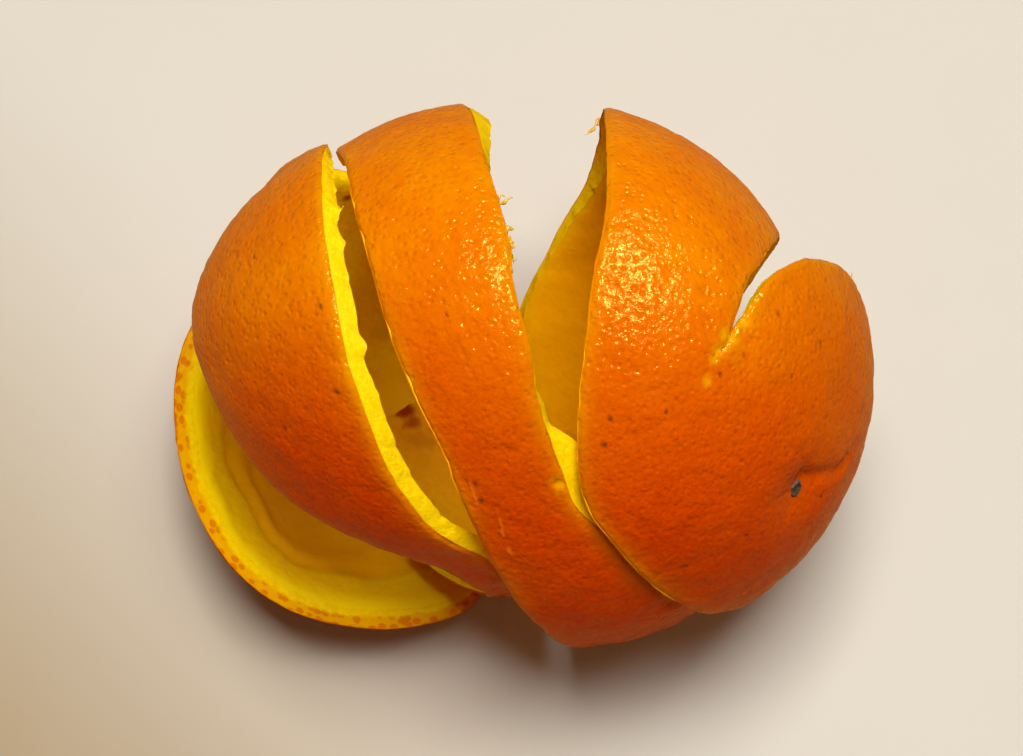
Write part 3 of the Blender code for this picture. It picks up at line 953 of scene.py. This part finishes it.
def fibres():
    """Strings of pith that hang from the torn edges."""
    sides = 7
    steps = 14
    points = []
    quads = []
    count = 0
    for number, (start, reach, bow, thick) in enumerate(FIBRES):
        turn, down, deep = (np.array([float(v)]) for v in start)
        root = placed(turn, down, deep)[0] * 1000.0
        reach = np.array(reach)
        side = unit(np.cross(reach, np.array([0.0, 0.0, 1.0])))
        lift = np.cross(side, unit(reach))
        for k in range(steps + 1):
            s = k / steps
            wave = 0.12 * math.sin(9 * s + number)
            centre = root + reach * (s * 1.15 - 0.15) + side * (bow * math.sin(2.6 * s) + wave)
            centre = centre + lift * 0.25 * math.sin(5 * s + number)
            size = thick * (1.0 - 0.75 * s ** 2) * (1.0 + 0.25 * math.sin(13 * s + 2 * number))
            for j in range(sides):
                a = 2 * math.pi * j / sides
                points.append(centre + size * 0.5 * (math.cos(a) * side + math.sin(a) * lift))
        index = count + np.arange((steps + 1) * sides).reshape(steps + 1, sides)
        count += index.size
        points.append(root + reach * 1.02 + side * (bow * math.sin(2.6)))
        index = np.concatenate([index, np.full((1, sides), count)], 0)
        count += 1
        quads.append(grid_quads(np.concatenate([index, index[:, :1]], 1)))
    points = np.array(points)
    points[:, 2] = np.maximum(points[:, 2], 0.1)
    quads = np.concatenate(quads)
    return make_mesh("fibres", points * 0.001, quads, corner_normals(points, quads), {"place": points})


def fibre_look():
    n = Nodes("fibres")
    place = n.mark("place", vector=True)
    fine = n.noise(place, 1.6, 3.0, 0.6)
    straw = n.mix(n.ramp(fine, 0.3, 0.7), linear(214, 160, 20), linear(246, 214, 60))
    n.link(straw, n.shader.inputs["Base Color"])
    n.link(n.math("ADD", n.math("MULTIPLY", fine, 0.2), 0.45), n.shader.inputs["Roughness"])
    n.link(n.bump(fine, 0.5, 0.0002), n.shader.inputs["Normal"])
    return n.material


# ================================================================ build
def finish_piece(obj, material):
    obj.data.materials.append(material)
    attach(obj, "root")


def build_peel():
    zest = zest_look()
    parts = zest_pieces()
    for obj in parts:
        finish_piece(obj, zest)
    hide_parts("orange_peel")
    finish_piece(pith_piece(), pith_look())
    finish_piece(cut_piece(), cut_look())
    finish_piece(stem_button(), button_look())
    finish_piece(fibres(), fibre_look())


# ================================================================ floor, light, camera
def build_stage():
    half = 1.5
    corners = [(x * half, y * half, 0) for x, y in ((-1, -1), (1, -1), (1, 1), (-1, 1))]
    mesh = bpy.data.meshes.new("floor")
    mesh.from_pydata(corners, [], [(0, 1, 2, 3)])
    floor = bpy.data.objects.new("floor", mesh)
    bpy.context.scene.collection.objects.link(floor)
    mesh.materials.append(floor_look())


def lamp(name, place, aim, width, height, watts, colour):
    data = bpy.data.lights.new(name, "AREA")
    data.shape = "RECTANGLE"
    data.size = width
    data.size_y = height
    data.energy = watts
    data.color = colour
    obj = bpy.data.objects.new(name, data)
    obj.location = place
    direction = Vector(aim) - Vector(place)
    obj.rotation_euler = direction.to_track_quat("-Z", "Y").to_euler()
    bpy.context.scene.collection.objects.link(obj)
    return obj


def build_light():
    ceiling = lamp("ceiling", (0.05, 0.07, 0.88), (0, 0, 0.03), 0.38, 0.38, 8.6, (1.0, 0.955, 0.89))
    ceiling.visible_glossy = False
    # A small far window that only glints on the zest.
    window = lamp("window", (0.15, 0.30, 0.78), (0, 0, 0.04), 0.10, 0.15, 20.0, (1.0, 0.96, 0.92))
    window.visible_diffuse = False
    world = bpy.data.worlds.new("studio")
    world.use_nodes = True
    back = world.node_tree.nodes["Background"]
    back.inputs["Color"].default_value = (1.0, 0.66, 0.30, 1.0)
    back.inputs["Strength"].default_value = 0.12
    bpy.context.scene.world = world


def build_camera():
    """Looks steeply down on the peel from the front."""
    elevation = math.radians(70.0)
    back = Vector((0.0, -math.cos(elevation), math.sin(elevation)))
    data = bpy.data.cameras.new("camera")
    data.lens = 80.0
    data.sensor_width = 36.0
    data.shift_x = -0.0103
    data.shift_y = -0.0029
    data.clip_start = 0.01
    data.clip_end = 10.0
    obj = bpy.data.objects.new("camera", data)
    obj.location = Vector((0.00135, 0.00015, 0.040)) + back * 0.3368
    obj.rotation_euler = (math.radians(90.0 - 70.0), 0.0, 0.0)
    bpy.context.scene.collection.objects.link(obj)
    bpy.context.scene.camera = obj


build_peel()
build_stage()
build_light()
build_camera()
bpy.context.scene.view_settings.view_transform = "Standard"
